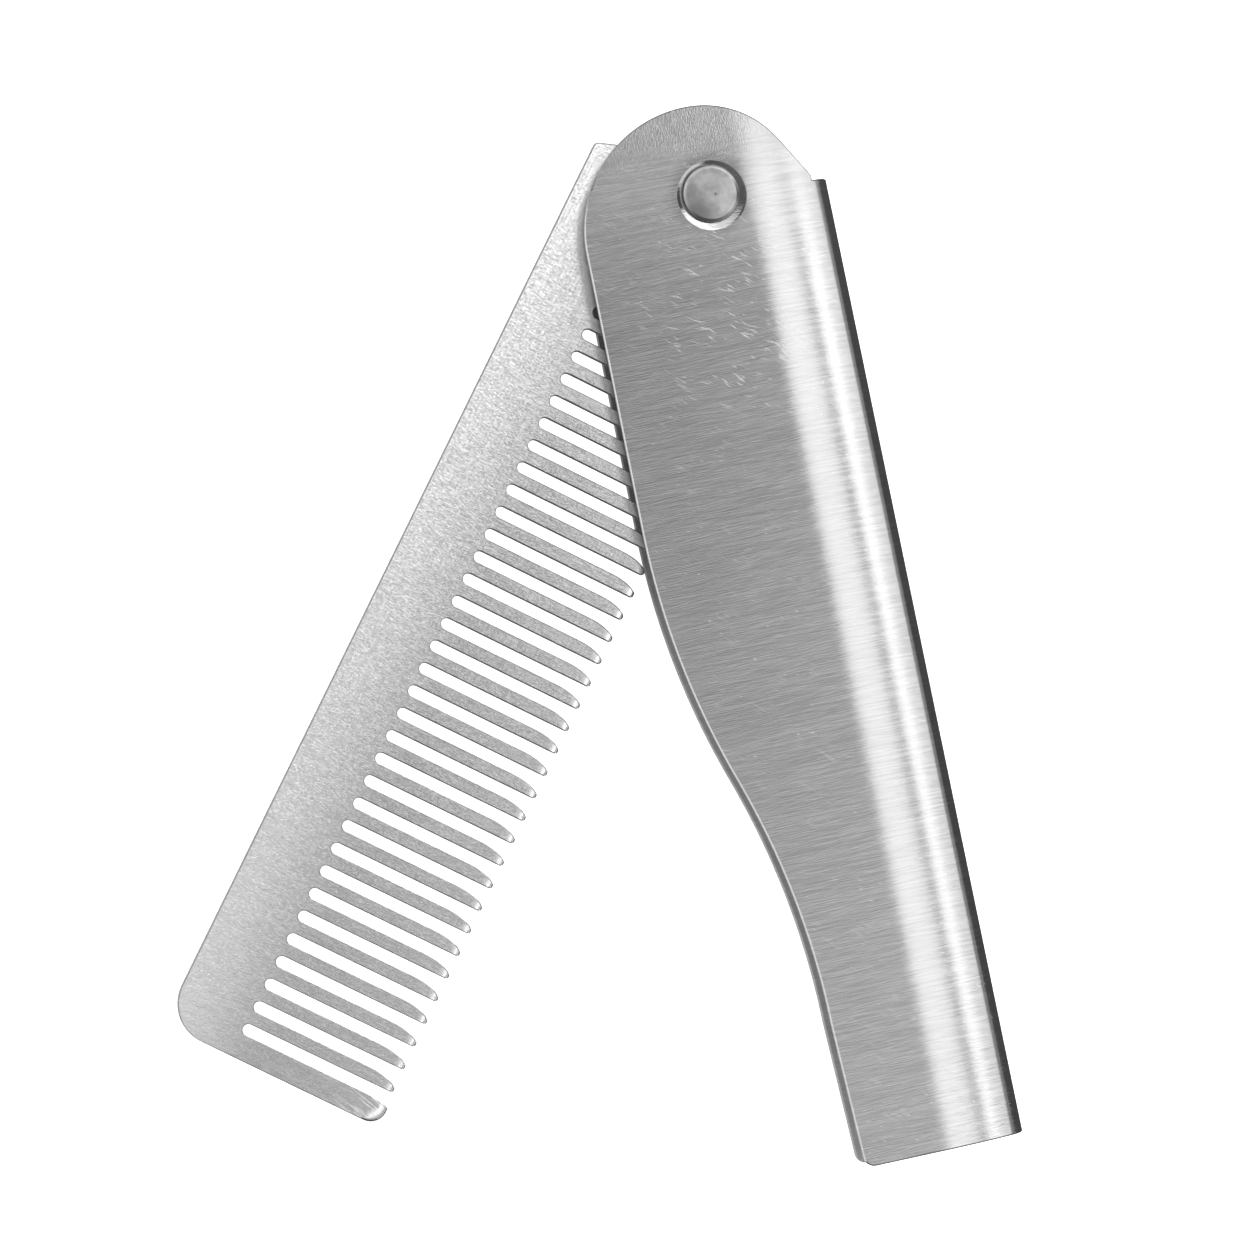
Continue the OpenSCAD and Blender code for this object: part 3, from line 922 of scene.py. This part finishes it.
def make_floor(studio):
    """A plain pale floor just under the comb, and a pale dome round the studio that only the camera sees."""
    half, low, radius = 3.0, -0.05 * MM, 2.9
    floor = bpy.data.meshes.new("floor")
    square = [(-half, -half, low), (half, -half, low), (half, half, low), (-half, half, low)]
    floor.from_pydata(square, [], [(0, 1, 2, 3)])
    a, t = np.meshgrid(np.linspace(0, 2 * np.pi, 65), np.linspace(0, np.pi / 2, 17))
    dome = bpy.data.meshes.new("dome")
    spots = radius * np.stack([np.cos(a) * np.cos(t), np.sin(a) * np.cos(t), np.sin(t)], axis=2).reshape(-1, 3)
    index = np.arange(a.size).reshape(a.shape)
    corners = (index[:-1, :-1], index[1:, :-1], index[1:, 1:], index[:-1, 1:])
    dome.from_pydata(spots.tolist(), [], np.stack([c.ravel() for c in corners], axis=1).tolist())
    for mesh in (floor, dome):
        piece = bpy.data.objects.new(mesh.name, mesh)
        bpy.context.scene.collection.objects.link(piece)
        piece.visible_glossy = False
        for ray in ("diffuse", "transmission", "volume_scatter", "shadow"):
            setattr(piece, "visible_" + ray, mesh is floor)
        finish = Finish(mesh.name + " paper")
        grain = finish.noise(finish.turned(0, (900, 900, 900)), 3.0)
        paper = finish.blend(grain, shade(studio.floor, 0.985), shade(studio.floor, 1))
        glow = {"Base Color": paper, "Roughness": 0.9, "Emission Color": paper, "Emission Strength": studio.glow}
        shader = finish.add("BsdfPrincipled", {}, glow)
        finish.add("OutputMaterial", {}, {"Surface": shader}, output=None)
        mesh.materials.append(finish.material)


SOFTBOXES = (  # name, direction and tilt in degrees, distance, width, length, shift and radiance
    ("strip near", 0, 21.4, 1.2, 0.305, 1.7, 0.5, 1.15),
    ("strip middle", 0, 34.8, 1.2, 0.11, 1.7, 0.5, 2.0),
    ("strip far", 0, 41.5, 1.2, 0.15, 1.7, 0.5, 1.0),
    ("strip edge", 0, 55, 1.2, 0.38, 1.7, 0.5, 0.22),
    ("high back", 65, 33, 1.2, 0.33, 0.65, 0, 0.9),
    ("low corner", 45, 72, 1.6, 0.7, 1.2, 0, 0.6),
    ("low front", -45, 75, 1.6, 0.7, 1.8, 0, 0.8),
    ("low left", 180, 68, 1.4, 1.0, 2.0, 0, 1.1),
    ("low back", 90, 64, 1.4, 1.25, 4.0, -0.6, 0.85),
)
OVERHEAD = ((0.02, -0.36, 1.0), 14.0, 1.06)  # axis, narrowness and radiance
AIM = (-0.02, -0.045, 0)  # the place on the comb that the softboxes stand round


def make_lights(studio):
    """Softboxes aimed at the comb, each with the direction that it stands in, its tilt from overhead, its distance,
    its width, its length, how far it is shifted along its length and its radiance. The room itself glows dimly all
    round, and more from a soft patch overhead, given by its axis, how narrow it is and its radiance."""
    for name, around, tilt, away, width, long, shift, radiance in SOFTBOXES:
        light = bpy.data.lights.new(name, "AREA")
        light.shape, light.size, light.size_y = "RECTANGLE", width, long
        light.energy = radiance * math.pi * width * long * studio.light
        seat = bpy.data.objects.new(name, light)
        bpy.context.scene.collection.objects.link(seat)
        around, tilt = math.radians(around), math.radians(tilt)
        outwards = np.array([math.cos(around), math.sin(around), 0])
        sideways = np.array([-math.sin(around), math.cos(around), 0])
        up = np.array([0, 0, math.cos(tilt)])
        seat.location = np.array(AIM) + away * (math.sin(tilt) * outwards + up) + shift * sideways
        seat.rotation_euler = (0, tilt, around)
        seat.visible_camera = False
    world = bpy.data.worlds.new("room")
    bpy.context.scene.world = world
    room = Nodes(world)
    axis, narrow, radiance = OVERHEAD
    axis = (np.array(axis) / np.linalg.norm(axis)).tolist()
    way = room.add("TexCoord", output="Generated")
    along = room.add("VectorMath", {"operation": "DOT_PRODUCT"}, {0: way, 1: axis}, output="Value")
    glow = ((along - 1) * narrow).math("EXPONENT") * radiance + studio.room
    surface = room.add("Background", {}, {"Color": grey(1.0), "Strength": glow})
    room.add("OutputWorld", {}, {"Surface": surface}, output=None)


def make_camera(scene, studio):
    """The camera, looking down on the comb a little from its open side."""
    camera = bpy.data.cameras.new("camera")
    camera.lens, camera.sensor_width = studio.lens, 36.0
    camera.clip_start, camera.clip_end = 0.01, 20.0
    seat = bpy.data.objects.new("camera", camera)
    scene.collection.objects.link(seat)
    seat.location, seat.rotation_euler = studio.camera, studio.turn
    scene.camera = seat
    scene.view_settings.view_transform = "Standard"


class COMB_PT_sidebar(bpy.types.Panel):
    """Lists the comb's pieces"""

    bl_idname = "COMB_PT_sidebar"
    bl_label = "Folding beard comb"
    bl_space_type = "VIEW_3D"
    bl_region_type = "UI"
    bl_category = "Comb"

    def draw(self, context):
        for operator in OPERATORS:
            self.layout.operator(operator.bl_idname)


GROUPS = {"comb_handle": HandleSizes, "comb_blade": BladeSizes, "comb_pivot": PivotSizes, "comb_studio": StudioSizes}
OPERATORS = (COMB_OT_handle, COMB_OT_blade, COMB_OT_pivot, COMB_OT_studio)


def register():
    for group in (*GROUPS.values(), *OPERATORS, COMB_PT_sidebar):
        bpy.utils.register_class(group)
    for name, group in GROUPS.items():
        setattr(bpy.types.Scene, name, PointerProperty(type=group))


def unregister():
    for name in GROUPS:
        delattr(bpy.types.Scene, name)
    for group in (COMB_PT_sidebar, *reversed(OPERATORS), *reversed(GROUPS.values())):
        bpy.utils.unregister_class(group)


def main():
    register()
    bpy.ops.comb.make_handle()
    bpy.ops.comb.make_blade()
    bpy.ops.comb.make_pivot()
    bpy.ops.comb.make_studio()


if __name__ == "__main__":
    main()
